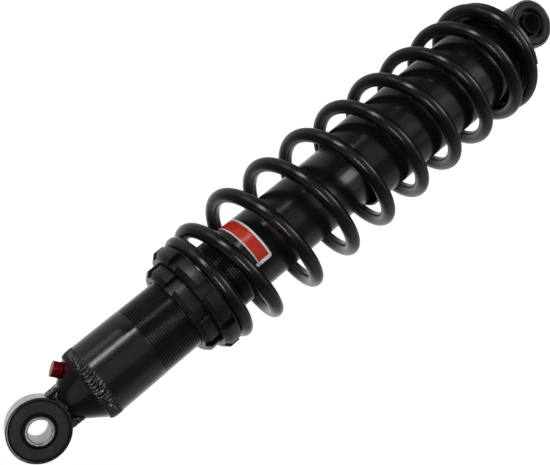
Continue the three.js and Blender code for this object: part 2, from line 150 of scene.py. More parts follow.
def turned(name, outline, segments=128, fillet=0.35, along="Z", centre=(0, 0, 0), steps=4):
    """A piece turned on a lathe: the closed outline of (radius, height) swept once round its axis."""
    profile = soften(outline, fillet, steps) if fillet or any(len(p) > 2 for p in outline) else list(outline)
    if signed_area(profile) < 0:
        profile.reverse()
    on_axis = [r < 1e-6 for r, _ in profile]
    verts, ring_index = [], []
    for (r, z), single in zip(profile, on_axis):
        ring_index.append(len(verts))
        for k in range(1 if single else segments):
            angle = TAU * k / segments
            verts.append((r * math.cos(angle), r * math.sin(angle), z))
    faces = []
    count = len(profile)
    for i in range(count):
        j = (i + 1) % count
        if on_axis[i] and on_axis[j]:
            continue
        for k in range(segments):
            n = (k + 1) % segments
            a, b = ring_index[i], ring_index[j]
            if on_axis[i]:
                faces.append((a, b + n, b + k))
            elif on_axis[j]:
                faces.append((a + k, a + n, b))
            else:
                faces.append((a + k, a + n, b + n, b + k))
    points = np.array(verts) * MM
    if along == "Y":
        points = points[:, [0, 2, 1]] * np.array([1, 1, -1])
    points += np.array(centre) * MM
    return new_object(name, points, faces)


def swept(name, path_point, steps, section):
    """A closed tube: path_point(t) gives centre, two cross axes and a scale; section is a list of (u, v)."""
    verts, faces = [], []
    count = len(section)
    for i in range(steps + 1):
        centre, across, up, scale = path_point(i / steps)
        for u, v in section:
            verts.append(centre + across * (u * scale) + up * (v * scale))
    for i in range(steps):
        for k in range(count):
            n = (k + 1) % count
            a, b = i * count, (i + 1) * count
            faces.append((a + k, a + n, b + n, b + k))
    faces.append(tuple(reversed(range(count))))
    faces.append(tuple(steps * count + k for k in range(count)))
    return new_object(name, np.array([tuple(v) for v in verts]) * MM, faces)


def applied(made):
    """The object with its modifiers applied."""
    graph = bpy.context.evaluated_depsgraph_get()
    mesh = bpy.data.meshes.new_from_object(made.evaluated_get(graph))
    made.modifiers.clear()
    made.data = mesh
    return made


def joined(name, parts):
    """Several closed meshes as one mesh, still overlapping."""
    whole = bmesh.new()
    for part in parts:
        whole.from_mesh(part.data)
        bpy.data.objects.remove(part)
    mesh = bpy.data.meshes.new(name)
    whole.to_mesh(mesh)
    whole.free()
    made = bpy.data.objects.new(name, mesh)
    bpy.context.scene.collection.objects.link(made)
    return made


def fused(made, voxel, smoothing):
    """Overlapping solids melted into one skin with soft inside corners, as on a welded and painted part."""
    remesh = made.modifiers.new("fuse", "REMESH")
    remesh.mode = "VOXEL"
    remesh.voxel_size = voxel * MM
    smooth = made.modifiers.new("smooth", "SMOOTH")
    smooth.factor = 0.5
    smooth.iterations = smoothing
    return applied(made)


def carve(made, *cutters):
    for cutter in cutters:
        modifier = made.modifiers.new("carve", "BOOLEAN")
        modifier.operation = "DIFFERENCE"
        modifier.solver = "EXACT"
        modifier.object = cutter
        applied(made)
        bpy.data.objects.remove(cutter)


def bevelled(made, width, angle):
    modifier = made.modifiers.new("bevel", "BEVEL")
    modifier.width = width * MM
    modifier.segments = 2
    modifier.limit_method = "ANGLE"
    modifier.angle_limit = math.radians(angle)
    modifier.use_clamp_overlap = False
    return shade(applied(made))


def prism(name, sides, circumradius, bottom, top):
    verts = []
    for z in (bottom, top):
        for k in range(sides):
            angle = TAU * (k + 0.5) / sides
            verts.append((circumradius * math.cos(angle), circumradius * math.sin(angle), z))
    faces = [tuple(reversed(range(sides))), tuple(range(sides, 2 * sides))]
    for k in range(sides):
        n = (k + 1) % sides
        faces.append((k, n, sides + n, sides + k))
    return new_object(name, np.array(verts) * MM, faces)


# ---------------------------------------------------------------- material nodes

NOISE_LOW, NOISE_HIGH = 0.3, 0.7        # the part of a noise's 0 to 1 that a material makes use of


class Nodes:
    """A small helper that adds nodes to one material."""

    def __init__(self, name):
        self.material = bpy.data.materials.new(name)
        self.material.use_nodes = True
        self.tree = self.material.node_tree
        self.shader = self.tree.nodes["Principled BSDF"]
        self.place = self.add("ShaderNodeTexCoord").outputs["Object"]

    def add(self, kind):
        return self.tree.nodes.new(kind)

    def link(self, source, target):
        self.tree.links.new(source, target)

    def set(self, **values):
        for key, value in values.items():
            self.shader.inputs[key.replace("_", " ")].default_value = value

    def noise(self, scale, detail, stretch=None):
        node = self.add("ShaderNodeTexNoise")
        node.inputs["Scale"].default_value = scale
        node.inputs["Detail"].default_value = detail
        source = self.place
        if stretch:
            mapping = self.add("ShaderNodeMapping")
            mapping.inputs["Scale"].default_value = stretch
            self.link(self.place, mapping.inputs["Vector"])
            source = mapping.outputs["Vector"]
        self.link(source, node.inputs["Vector"])
        return node.outputs["Fac"]

    def span(self, value, start, end):
        node = self.add("ShaderNodeMapRange")
        node.inputs["From Min"].default_value = NOISE_LOW
        node.inputs["From Max"].default_value = NOISE_HIGH
        node.inputs["To Min"].default_value = start
        node.inputs["To Max"].default_value = end
        self.link(value, node.inputs["Value"])
        return node.outputs["Result"]

    def tint(self, value, dark, light):
        ramp = self.add("ShaderNodeValToRGB")
        ramp.color_ramp.elements[0].position = NOISE_LOW
        ramp.color_ramp.elements[0].color = (*dark, 1)
        ramp.color_ramp.elements[1].position = NOISE_HIGH
        ramp.color_ramp.elements[1].color = (*light, 1)
        self.link(value, ramp.inputs["Fac"])
        self.link(ramp.outputs["Color"], self.shader.inputs["Base Color"])

    def rough(self, value, start, end):
        self.link(self.span(value, start, end), self.shader.inputs["Roughness"])

    def bump(self, value, height, strength=1.0, below=None):
        node = self.add("ShaderNodeBump")
        node.inputs["Distance"].default_value = height * MM
        node.inputs["Strength"].default_value = strength
        self.link(value, node.inputs["Height"])
        if below is not None:
            self.link(below, node.inputs["Normal"])
        self.link(node.outputs["Normal"], self.shader.inputs["Normal"])
        return node.outputs["Normal"]


def black_paint():
    n = Nodes("black_paint")
    n.tint(n.noise(60, 4), (0.0045, 0.0045, 0.005), (0.009, 0.009, 0.010))
    n.rough(n.noise(900, 2), 0.18, 0.26)
    peel = n.bump(n.noise(1400, 2), 0.006)
    n.bump(n.noise(180, 2), 0.03, 0.6, below=peel)
    n.set(Specular_IOR_Level=0.5, Coat_Weight=0.1, Coat_Roughness=0.1)
    return n.material


def powder_coat():
    n = Nodes("black_powder_coat")
    n.tint(n.noise(90, 4), (0.0035, 0.0035, 0.0035), (0.007, 0.007, 0.007))
    n.rough(n.noise(1200, 2), 0.2, 0.28)
    peel = n.bump(n.noise(1500, 2), 0.003)
    n.bump(n.noise(200, 2), 0.012, 0.6, below=peel)
    n.set(Specular_IOR_Level=0.5)
    return n.material


def black_anodised():
    n = Nodes("black_anodised")
    n.tint(n.noise(150, 5), (0.005, 0.005, 0.006), (0.010, 0.010, 0.011))
    n.rough(n.noise(700, 3), 0.28, 0.4)
    n.bump(n.noise(900, 2, stretch=(0.2, 0.2, 3.0)), 0.006)
    n.set(Metallic=0.1, Specular_IOR_Level=0.45)
    return n.material


def red_anodised():
    n = Nodes("red_anodised")
    n.tint(n.noise(400, 3), (0.22, 0.003, 0.010), (0.33, 0.008, 0.018))
    n.rough(n.noise(1500, 2), 0.26, 0.38)
    n.bump(n.noise(2500, 2), 0.006)
    n.set(Metallic=0.75)
    return n.material


def zinc_steel():
    n = Nodes("zinc_steel")
    n.tint(n.noise(500, 4), (0.17, 0.17, 0.16), (0.30, 0.30, 0.285))
    n.rough(n.noise(900, 3), 0.26, 0.4)
    n.bump(n.noise(2000, 2, stretch=(1, 0.15, 1)), 0.01)
    n.set(Metallic=0.95)
    return n.material


# Painted shade: a darker, barely reflective copy of the zinc sleeve steel. It stands in for the shade inside
# the lower eye's well, where the sleeve is made like the upper one.
def painted_shade_steel():
    n = Nodes("black_oxide_steel")
    n.tint(n.noise(500, 4), (0.004, 0.004, 0.0045), (0.009, 0.009, 0.010))
    n.rough(n.noise(900, 3), 0.6, 0.75)
    n.bump(n.noise(2000, 2, stretch=(1, 0.15, 1)), 0.01)
    n.set(Metallic=0.1, Specular_IOR_Level=0.15)
    return n.material


def plain_metal(name, dark, light, rough_low, rough_high, lines=None):
    n = Nodes(name)
    n.tint(n.noise(300, 4), dark, light)
    n.rough(n.noise(900, 3), rough_low, rough_high)
    n.bump(n.noise(1800, 2, stretch=lines), 0.008)
    n.set(Metallic=1.0)
    return n.material


def rubber():
    n = Nodes("black_rubber")
    n.tint(n.noise(220, 5), (0.010, 0.0095, 0.009), (0.018, 0.017, 0.016))
    n.rough(n.noise(500, 4), 0.5, 0.66)
    fine = n.bump(n.noise(2600, 2), 0.02)
    n.bump(n.noise(350, 2), 0.06, 0.6, below=fine)
    n.set(Specular_IOR_Level=0.3)
    return n.material


def black_plastic():
    n = Nodes("black_plastic")
    n.tint(n.noise(120, 3), (0.006, 0.006, 0.0065), (0.010, 0.010, 0.011))
    n.rough(n.noise(800, 2), 0.13, 0.22)
    n.bump(n.noise(160, 2), 0.03)
    n.set(Specular_IOR_Level=0.5)
    return n.material


def ptfe():
    n = Nodes("bronze_ptfe")
    n.tint(n.noise(900, 5), (0.14, 0.075, 0.04), (0.26, 0.15, 0.085))
    n.rough(n.noise(600, 3), 0.45, 0.6)
    n.bump(n.noise(2200, 2), 0.01)
    return n.material


def vinyl(name, dark, light):
    n = Nodes(name)
    n.tint(n.noise(260, 3), dark, light)
    n.rough(n.noise(900, 2), 0.2, 0.3)
    n.bump(n.noise(240, 2), 0.02)
    n.set(Specular_IOR_Level=0.4)
    return n.material


LOOKS = {
    "black_paint": black_paint(),
    "black_powder_coat": powder_coat(),
    "black_anodised": black_anodised(),
    "red_anodised": red_anodised(),
    "zinc_steel": zinc_steel(),
    # painted shade: the darkened copy of the sleeve steel
    "black_oxide_steel": painted_shade_steel(),
    "hard_chrome": plain_metal("hard_chrome", (0.62, 0.63, 0.65), (0.72, 0.73, 0.75), 0.06, 0.11),
    "bare_aluminium": plain_metal("bare_aluminium", (0.48, 0.49, 0.51), (0.62, 0.63, 0.65), 0.28, 0.4,
                                  lines=(0.3, 0.3, 4)),
    "bare_steel": plain_metal("bare_steel", (0.3, 0.31, 0.33), (0.42, 0.43, 0.45), 0.26, 0.4),
    "black_rubber": rubber(),
    "black_plastic": black_plastic(),
    "bronze_ptfe": ptfe(),
    "label_vinyl": vinyl("label_red", (0.60, 0.030, 0.012), (0.66, 0.038, 0.015)),
}
LABEL_BLACK = vinyl("label_black", (0.006, 0.006, 0.007), (0.012, 0.012, 0.013))
LABEL_WHITE = vinyl("label_white", (0.90, 0.90, 0.88), (0.96, 0.96, 0.95))
NODE_SLOT = {s["node"]: s["material_slot"] for s in frame["record"]["subparts"]}
NODE_BODY = {n: b for b, ns in frame["record"]["behaviour"]["bodies"].items() for n in ns}


def stands_for(piece, node):
    """Gives a finished piece its material, body and slot, and hides the CAD solid that it stands for."""
    if not piece.data.materials:
        piece.data.materials.append(LOOKS[NODE_SLOT[node]])
    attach(piece, NODE_BODY[node])
    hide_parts(node)


# ---------------------------------------------------------------- eyes

BARREL_RADIUS = 19.6
BARREL_HALF = 14.0
BORE_RADIUS = 17.7
NECK_WIDE = 12.6                # half widths of the slab between the barrel and the cone
NECK_THICK = 7.0


def barrel_cutter(height):
    """Bores an eye, with a small chamfer at both mouths."""
    lip = 0.5
    far = BARREL_HALF + 4
    return turned("cutter", [
        (0, -far), (BORE_RADIUS + lip + 4, -far), (BORE_RADIUS + lip, -BARREL_HALF),
        (BORE_RADIUS, -BARREL_HALF + lip), (BORE_RADIUS, BARREL_HALF - lip), (BORE_RADIUS + lip, BARREL_HALF),
        (BORE_RADIUS + lip + 4, far), (0, far),
    ], segments=160, fillet=0, along="Y", centre=(0, 0, height))


def eye_barrel(height):
    outline = [(0, -BARREL_HALF), (BARREL_RADIUS, -BARREL_HALF, 0.6), (BARREL_RADIUS, BARREL_HALF, 0.6),
               (0, BARREL_HALF)]
    return turned("barrel", outline, segments=160, along="Y", centre=(0, 0, height))


def blob(x, y, z, size):
    ball = bmesh.new()
    bmesh.ops.create_icosphere(ball, subdivisions=2, radius=size * MM)
    bmesh.ops.translate(ball, vec=Vector((x, y, z)) * MM, verts=ball.verts)
    mesh = bpy.data.meshes.new("blob")
    ball.to_mesh(mesh)
    ball.free()
    made = bpy.data.objects.new("blob", mesh)
    bpy.context.scene.collection.objects.link(made)
    return made


def weld_ring(height, radius, seed):
    """Small overlapping beads round the line where a round neck meets the barrel."""
    blobs = []
    beads = 40
    for k in range(beads):
        angle = TAU * k / beads
        x, y = radius * math.cos(angle), radius * math.sin(angle)
        drop = math.sqrt(BARREL_RADIUS ** 2 - x * x)
        size = 1.3 + 0.5 * noise.noise(Vector((seed + 3.1 * k, seed, 0)))
        blobs.append(blob(x, y * 0.97, height + drop + 0.2, size))
    return blobs


def weld_flanks(height, seed):
    """Rough weld laid over the two narrow sides of the upper neck, from the barrel down to the cone."""
    blobs = []
    for side in (-1, 1):
        for row in range(7):
            for column in range(7):
                spot = Vector((seed + row * 2.7, column * 1.9, side * 1.3))
                jitter = [noise.noise(spot + Vector((0, 0, 5.3 * axis))) for axis in range(3)]
                down = 13.4 + 1.7 * row + 0.7 * jitter[0]
                y = -NECK_THICK + NECK_THICK * column / 3 + 0.7 * jitter[1]
                size = 1.15 + 0.45 * jitter[2]
                blobs.append(blob(side * (NECK_WIDE - 0.55 + 0.05 * row), y, height - down, size))
    return blobs


def bushing(node, well, lip):
    """Moulded rubber: a flat face, and round the sleeve a well of a given depth out to its lip's radius."""
    centre = middle(node)
    outer = BORE_RADIUS - 0.05
    half = [(8.9, 15.2 - well), (lip - 0.7, 15.1 - well), (lip, 14.3), (lip + 0.6, 15.1), (lip + 1.6, 15.25),
            (15.6, 15.25), (16.8, 15.1), (17.35, 14.7), (outer, BARREL_HALF)]
    outline = [(r, y) for r, y in half] + [(r, -y) for r, y in reversed(half)]
    piece = turned(node + "_rubber", outline, segments=144, fillet=0.25, along="Y", centre=centre)
    stands_for(piece, node)


def sleeve(node):
    centre = middle(node)
    end = (high(node).y - low(node).y) / 2
    outer, bore = 8.8, 7.0
    chamfered = []
    for r, y in box_outline(bore, outer, -end, end):
        step = 0.45 if r == outer else -0.4
        corner = [(r - step, y), (r, y - math.copysign(abs(step), y))]
        chamfered += corner if (r == outer) == (y < 0) else corner[::-1]
    piece = turned(node + "_steel", chamfered, segments=128, fillet=0.12, along="Y", centre=centre)
    stands_for(piece, node)


# ---------------------------------------------------------------- upper mount

CONE = {"small": 9.8, "small_down": 18.5, "large": 24.8, "large_down": 38.2}
SCREW_DOWN = 31.5
SCREW_ANGLE = math.radians(353)
SCREW_SINK = 0.5                # how far the screw's seat is cut into the cone


def cone_frame():
    """Matrix that carries +Z at the origin to the charge screw's seat on the cone, square to its surface."""
    rise = CONE["large_down"] - CONE["small_down"]
    growth = CONE["large"] - CONE["small"]
    tilt = math.atan2(growth, rise)
    radius = CONE["small"] + growth * (SCREW_DOWN - CONE["small_down"]) / rise - SCREW_SINK
    x, y = radius * math.cos(SCREW_ANGLE), radius * math.sin(SCREW_ANGLE)
    place = Vector((x, y, UPPER_EYE - SCREW_DOWN)) * MM
    turn = Vector((0, 0, 1)).rotation_difference(direction(SCREW_ANGLE, tilt)).to_matrix().to_4x4()
    return Matrix.Translation(place) @ turn


def block(name, half_x, half_y, bottom, top):
    verts = [(x, y, z) for z in (bottom, top) for y in (-half_y, half_y) for x in (-half_x, half_x)]
    faces = [(0, 2, 3, 1), (4, 5, 7, 6), (0, 1, 5, 4), (2, 6, 7, 3), (0, 4, 6, 2), (1, 3, 7, 5)]
    return new_object(name, np.array(verts) * MM, faces)


def upper_mount():
    def at(down):
        return UPPER_EYE - down

    foot = at(40.9)
    body = turned("body", [
        (0, at(8)), (CONE["small"], at(8)), (CONE["small"], at(CONE["small_down"]), 0),
        (CONE["large"], at(CONE["large_down"]), 1.2), (CONE["large"], foot), (0, foot),
    ], segments=144)
    slab = block("slab", NECK_WIDE, NECK_THICK, at(26.5), at(10))
    parts = [body, slab, eye_barrel(UPPER_EYE)] + weld_flanks(UPPER_EYE, 2.7)
    piece = fused(joined("upper_mount_steel", parts), voxel=0.42, smoothing=3)
    seat = turned("cutter", box_outline(0, 5.65, 0, 8), segments=64, fillet=0)
    seat.data.transform(cone_frame())
    carve(piece, barrel_cutter(UPPER_EYE), seat)
    shade(piece, 38)
    stands_for(piece, "upper_mount")

    spigot = turned("upper_mount_spigot", [
        (18.5, at(48)), (21.7, at(48)), (21.7, at(41)), (16, at(41)), (17, at(44)),
    ], fillet=0.3)
    spigot.data.materials.append(LOOKS["black_paint"])
    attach(spigot, "damper_body")


def weld_bead():
    """A ring of overlapping weld ripples with sharp valleys, a little uneven, as a hand-laid bead is."""
    bottom, top = low("weld_bead").z - 0.5, high("weld_bead").z + 1.3
    ripples, valley, drop = 62, 0.95, 0.95
    around, across = 1520, 24
    mid, half = (bottom + top) / 2, (top - bottom) / 2
    verts, faces = [], []
    for k in range(around):
        angle = TAU * k / around
        spot = Vector((math.cos(angle), math.sin(angle), 0))
        wander = 0.35 * noise.noise(spot * 3.1)
        swell = 1 + 0.14 * noise.noise(spot * 5.7 + Vector((9, 2, 4)))
        for j in range(across + 1):
            v = -1 + 2 * j / across
            curve = 0.7 * (1 - v * v)
            drift = 0.45 * noise.noise(spot * 7 + Vector((0, 0, v * 0.5)))
            step = (ripples * angle / TAU + curve + drift) % 1.0
            ripple = 1 - (2 * step - 1) ** 2
            crown = max(0.0, 1 - v * v) ** 0.4
            grain = 0.1 * noise.noise(Vector((spot.x, spot.y, v * 0.12)) * 40)
            base = TUBE_RADIUS + 0.04 - drop * (v + 1)
            lift = 0.4 + 0.65 * (v + 1)
            radius = base + crown * (swell * (lift - valley * (1 - ripple)) + grain)
            verts.append(Vector((radius * spot.x, radius * spot.y, mid + v * half + wander)) * MM)
    row = across + 1
    for k in range(around):
        n = (k + 1) % around
        for j in range(across):
            faces.append((k * row + j, n * row + j, n * row + j + 1, k * row + j + 1))
        faces.append((k * row + across, n * row + across, n * row, k * row))
    piece = new_object("weld_bead_steel", verts, faces, smooth_angle=60)
    stands_for(piece, "weld_bead")


def charge_screw():
    flat = 5
    corner = flat / math.cos(math.pi / 6)
    head = prism("charge_screw_head", 6, corner, 0.9, 5.9)
    trim = turned("cutter", [(flat, 6.5), (9, 6.5), (9, 3.9), (corner + 0.35, 4.3), (flat, 6.15)],
                  segments=96, fillet=0)
    carve(head, trim)
    bevelled(head, 0.18, angle=25)
    flange = turned("flange", box_outline(0, 5.5, 0.3, 0.9), segments=96, fillet=0.2)
    shank = turned("shank", box_outline(0, 2.9, -5.6, 0.6), segments=48, fillet=0.3)
    piece = joined("charge_screw_red", [head, flange, shank])
    piece.data.transform(cone_frame())
    shade(piece, 30)
    stands_for(piece, "charge_screw")

    ring = turned("charge_screw_seal", box_outline(3.3, 4.9, -1.5, 0), segments=64, fillet=0.7)
    ring.data.transform(cone_frame())
    stands_for(ring, "charge_screw_oring")


# ---------------------------------------------------------------- damper tube

THREAD_TOP = 394.3
THREAD_BOTTOM = 318.2
THREAD_PITCH = 1.75
THREAD_DEPTH = 0.9


def thread_cut(x):
    """Depth share of a thread with a narrow crest and a sharp root, over one pitch."""
    groove = 0.85               # its share of the pitch
    from_root = abs((x % 1.0) - 0.5) * 2
    return max(0.0, (groove - from_root) / groove) ** 1.4


def damper_tube():
    around, per_pitch = 180, 12
    run_in, run_out = 1.6, 0.5  # heights over which the thread fades at its two ends
    rows = [(TUBE_BOTTOM, TUBE_BORE), (TUBE_BOTTOM, TUBE_RADIUS - 0.8), (TUBE_BOTTOM + 0.8, TUBE_RADIUS),
            (250, TUBE_RADIUS), (300, TUBE_RADIUS)]
    plain_rows = len(rows)
    count = int((THREAD_TOP - THREAD_BOTTOM) / THREAD_PITCH * per_pitch)
    heights = [THREAD_BOTTOM + (THREAD_TOP - THREAD_BOTTOM) * i / count for i in range(count + 1)]
    rows += [(z, TUBE_RADIUS) for z in heights]
    thread_end = len(rows)
    land = low("weld_bead").z
    rows += [(405, TUBE_RADIUS), (420, TUBE_RADIUS), (land - 0.4, TUBE_RADIUS), (land - 0.2, LAND_RADIUS),
             (TUBE_TOP, LAND_RADIUS), (TUBE_TOP, TUBE_BORE), (TUBE_TOP - 60, TUBE_BORE)]
    verts = []
    for i, (z, radius) in enumerate(rows):
        threaded = plain_rows <= i < thread_end
        for k in range(around):
            angle = TAU * k / around
            r = radius
            if threaded:
                turn = z / THREAD_PITCH - angle / TAU
                fade = min(1.0, (z - THREAD_BOTTOM) / run_in, (THREAD_TOP - z) / run_out)
                r -= THREAD_DEPTH * max(0.0, fade) * thread_cut(turn)
            verts.append((r * math.cos(angle), r * math.sin(angle), z))
    faces = []
    for i in range(len(rows)):
        j = (i + 1) % len(rows)
        for k in range(around):
            n = (k + 1) % around
            faces.append((i * around + k, i * around + n, j * around + n, j * around + k))
    piece = new_object("damper_tube_steel", np.array(verts) * MM, faces, smooth_angle=50)
    stands_for(piece, "damper_tube")


def label():
    """A thin wrap-round sticker: a red field, a white line and a black field inside a white border."""
    bottom, top = low("label").z, high("label").z
    start, end = math.radians(254), math.radians(389)
    height = top - bottom
    inner, outer = TUBE_RADIUS + 0.02, TUBE_RADIUS + 0.17
    border, end_border, line_low, line_high = 1.4, 2.4, 0.580 * height, 0.635 * height
    corner = 2.2
    columns, levels = 270, 60
    red, black, white = 0, 1, 2
    length = (end - start) * outer

    def inside(x, y, margin):
        """Whether a point lies within the sticker's outline, drawn in by a margin, round corners included."""
        x, y = x - margin, y - margin
        w, h = length - 2 * margin, height - 2 * margin
        r = max(corner - margin, 0.2)
        dx = max(r - x, 0, x - (w - r))
        dy = max(r - y, 0, y - (h - r))
        return 0 <= x <= w and 0 <= y <= h and dx * dx + dy * dy <= r * r

    index, verts, faces, slots = {}, [], [], []

    def vertex(i, j, radius):
        key = (i, j, radius)
        if key not in index:
            angle = start + (end - start) * i / columns
            index[key] = len(verts)
            verts.append((radius * math.cos(angle), radius * math.sin(angle), bottom + height * j / levels))
        return index[key]

    kept = set()
    for i in range(columns):
        for j in range(levels):
            x, y = length * (i + 0.5) / columns, height * (j + 0.5) / levels
            if inside(x, y, 0):
                kept.add((i, j))
    for i, j in sorted(kept):
        x, y = length * (i + 0.5) / columns, height * (j + 0.5) / levels
        if not inside(x, y, border) or x < end_border or line_low < y < line_high:
            slot = white
        else:
            slot = red if y <= line_low else black
        corners = [(i, j), (i + 1, j), (i + 1, j + 1), (i, j + 1)]
        faces.append(tuple(vertex(a, b, outer) for a, b in corners))
        slots.append(slot)
        faces.append(tuple(vertex(a, b, inner) for a, b in reversed(corners)))
        slots.append(slot)
        for (di, dj), (p, q) in {(0, -1): (0, 1), (1, 0): (1, 2), (0, 1): (2, 3), (-1, 0): (3, 0)}.items():
            if (i + di, j + dj) not in kept:
                a, b = corners[p], corners[q]
                faces.append((vertex(*a, inner), vertex(*b, inner), vertex(*b, outer), vertex(*a, outer)))
                slots.append(white)
    piece = new_object("label_vinyl_wrap", np.array(verts) * MM, faces, smooth_angle=40)
    for look in (LOOKS["label_vinyl"], LABEL_BLACK, LABEL_WHITE):
        piece.data.materials.append(look)
    piece.data.polygons.foreach_set("material_index", slots)
    stands_for(piece, "label")


# ---------------------------------------------------------------- threaded rings

SLOT_WIDTH = 8.0
RING_CHAMFER = 3.2


def slotted_ring(node, outer, floor, slots, first_slot):
    """A ring with slots milled across its rim. Columns of the outline run round the ring; at each slot
    the outline is clipped to the slot's floor, and the slot's walls stay parallel."""
    bottom, top = low(node).z, high(node).z
    lead = 0.5
    outline = soften([
        (RING_BORE + lead, bottom, 0), (outer, bottom, 0.45), (outer, top - RING_CHAMFER, 0.5),
        (outer - RING_CHAMFER, top, 0.4), (RING_BORE + lead, top, 0), (RING_BORE, top - lead, 0),
        (RING_BORE, bottom + lead, 0),
    ], 0, steps=3)
    half = SLOT_WIDTH / 2
    rounding = 0.4
    columns = []                # (angle of the slot's centre, sideways offset or None, angle, radius limit)
    pitch = TAU / slots
    for s in range(slots):
        centre = first_slot + s * pitch
        for k in range(5):
            columns.append((centre, -half + SLOT_WIDTH * k / 4, None, floor))
        for k in range(4):
            quarter = math.pi / 2 * k / 3
            inset = rounding * (1 - math.sin(quarter))
            columns.append((centre, half + rounding * (1 - math.cos(quarter)), None, outer - inset))
        edge = math.asin((half + rounding) / outer)
        for k in range(1, 16):
            columns.append((None, None, centre + edge + (pitch - 2 * edge) * k / 16, outer))
        for k in range(4):
            quarter = math.pi / 2 * (3 - k) / 3
            inset = rounding * (1 - math.sin(quarter))
            offset = -half - rounding * (1 - math.cos(quarter))
            columns.append((centre + pitch, offset, None, outer - inset))
    verts, faces = [], []
    for centre, offset, angle, limit in columns:
        for r, z in outline:
            r = min(r, limit)
            turn = angle if offset is None else centre + math.asin(offset / r)
            verts.append((r * math.cos(turn), r * math.sin(turn), z))
    row = len(outline)
    for i in range(len(columns)):
        j = (i + 1) % len(columns)
        for k in range(row):
            n = (k + 1) % row
            faces.append((i * row + k, j * row + k, j * row + n, i * row + n))
    piece = new_object(node + "_alloy", np.array(verts) * MM, faces, smooth_angle=28)
    stands_for(piece, node)


# ---------------------------------------------------------------- spring

WIRE = 5.08
COIL_RADIUS = 43.16
TOP_COIL_RADIUS = 37.0
COIL_PITCH = 36.01
FIRST_TURN, TOP_FLAT, TOP_RAMP = -2.1, -1.8, 0.0
BOTTOM_RAMP, BOTTOM_FLAT, LAST_TURN = 6.1, 7.4, 7.7
RAMP_HEIGHT = 292.8
START_ANGLE = math.radians(9)
GROUND = 1.1                    # how much of the wire is ground away where a flat coil meets its seat
WIDEN_FROM, WIDEN_OVER = -1.6, 1.75     # the turns over which the coil widens from its top radius


def ramp(u, u0, h0, s0, u1, h1, s1):
    """Cubic from (u0, h0) with slope s0 to (u1, h1) with slope s1."""
    t = (u - u0) / (u1 - u0)
    width = u1 - u0
    rise = h0 * (2 * t ** 3 - 3 * t ** 2 + 1) + h1 * (3 * t ** 2 - 2 * t ** 3)
    return rise + s0 * width * (t ** 3 - 2 * t ** 2 + t) + s1 * width * (t ** 3 - t ** 2)


def wire_height(turn):
    top = SPRING_TOP - WIRE + GROUND
    bottom = SPRING_BOTTOM + WIRE - GROUND
    if turn <= TOP_FLAT:
        return top
    if turn >= BOTTOM_FLAT:
        return bottom
    free_top = RAMP_HEIGHT - COIL_PITCH * TOP_RAMP
    free_bottom = RAMP_HEIGHT - COIL_PITCH * BOTTOM_RAMP
    if turn < TOP_RAMP:
        return ramp(turn, TOP_FLAT, top, 0, TOP_RAMP, free_top, -COIL_PITCH)
    if turn > BOTTOM_RAMP:
        return ramp(turn, BOTTOM_RAMP, free_bottom, -COIL_PITCH, BOTTOM_FLAT, bottom, 0)
    return RAMP_HEIGHT - COIL_PITCH * turn


def wire_radius(turn):
    t = min(1.0, max(0.0, (turn - WIDEN_FROM) / WIDEN_OVER))
    return TOP_COIL_RADIUS + (COIL_RADIUS - TOP_COIL_RADIUS) * t * t * (3 - 2 * t)


def wire_point(turn):
    angle = START_ANGLE - TAU * turn
    radius = wire_radius(turn)
    return Vector((radius * math.cos(angle), radius * math.sin(angle), wire_height(turn)))


def coil_spring():
    steps = int((LAST_TURN - FIRST_TURN) * 96)
    sides = 36
    section = [(math.cos(TAU * k / sides), math.sin(TAU * k / sides)) for k in range(sides)]

    def path_point(t):
        turn = FIRST_TURN + t * (LAST_TURN - FIRST_TURN)
        nudge = 0.002
        centre = wire_point(turn)
        along = (wire_point(turn + nudge) - wire_point(turn - nudge)).normalized()
        across = Vector((centre.x, centre.y, 0)).normalized()
        up = along.cross(across).normalized()
        tip = min(1.0, 0.72 + (turn - FIRST_TURN) / 0.55, 0.86 + (LAST_TURN - turn) / 0.9)
        return centre, across, up, WIRE * tip

    piece = swept("coil_spring_wire", path_point, steps, section)
    for vertex in piece.data.vertices:
        vertex.co.z = min(max(vertex.co.z, SPRING_BOTTOM * MM), SPRING_TOP * MM)
    bevel_tips(piece, sides)
    shade(piece, 40)
    stands_for(piece, "coil_spring")
    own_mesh(piece)


def bevel_tips(piece, sides):
    """Rounds the two cut ends of the wire."""
    whole = bmesh.new()
    whole.from_mesh(piece.data)
    whole.faces.ensure_lookup_table()
    caps = [f for f in whole.faces if len(f.verts) == sides]
    edges = [e for f in caps for e in f.edges]
    bmesh.ops.bevel(whole, geom=edges, offset=0.6 * MM, segments=3, affect="EDGES", profile=0.5)
    whole.to_mesh(piece.data)
    whole.free()


# ---------------------------------------------------------------- rod end


def lower_mount():
    shoulder = low("lower_retainer").z - 0.1
    body = turned("body", [
        (0, 8), (12.6, 8), (12.6, 28.5, 1.5), (17, 31.2, 0.8), (17, shoulder, 0.5), (12.2, shoulder, 0.3),
        (12.2, shoulder + 3.3, 0.4), (0, shoulder + 3.3),
    ], segments=144)
    parts = [body, eye_barrel(0)] + weld_ring(0, 12.2, 7.9)
    piece = fused(joined("lower_mount_steel", parts), voxel=0.42, smoothing=3)
    carve(piece, barrel_cutter(0))
    shade(piece, 38)
    stands_for(piece, "lower_mount")


def lower_retainer():
    bottom = low("lower_retainer").z
    rim = high("lower_retainer").x
    plate = turned("lower_retainer_steel", [
        (10, bottom, 0.4), (rim, bottom, 0.7), (rim, SEAT, 0.7), (10, SEAT, 0.4),
    ], segments=180)
    half, reach, slot_angle = 12.5, 30, math.radians(222)
    slot = turned("cutter", box_outline(0, half, 20, 60), segments=96, fillet=0)
    run = prism("cutter", 4, half * math.sqrt(2), 20, 60)
    run.data.transform(Matrix.Translation((reach * MM, 0, 0)) @ Matrix.Diagonal((reach / half, 1, 1, 1)))
    for cutter in (slot, run):
        cutter.data.transform(Matrix.Rotation(slot_angle, 4, "Z"))
    carve(plate, slot, run)
    bevelled(plate, 0.3, angle=50)
    stands_for(plate, "lower_retainer")


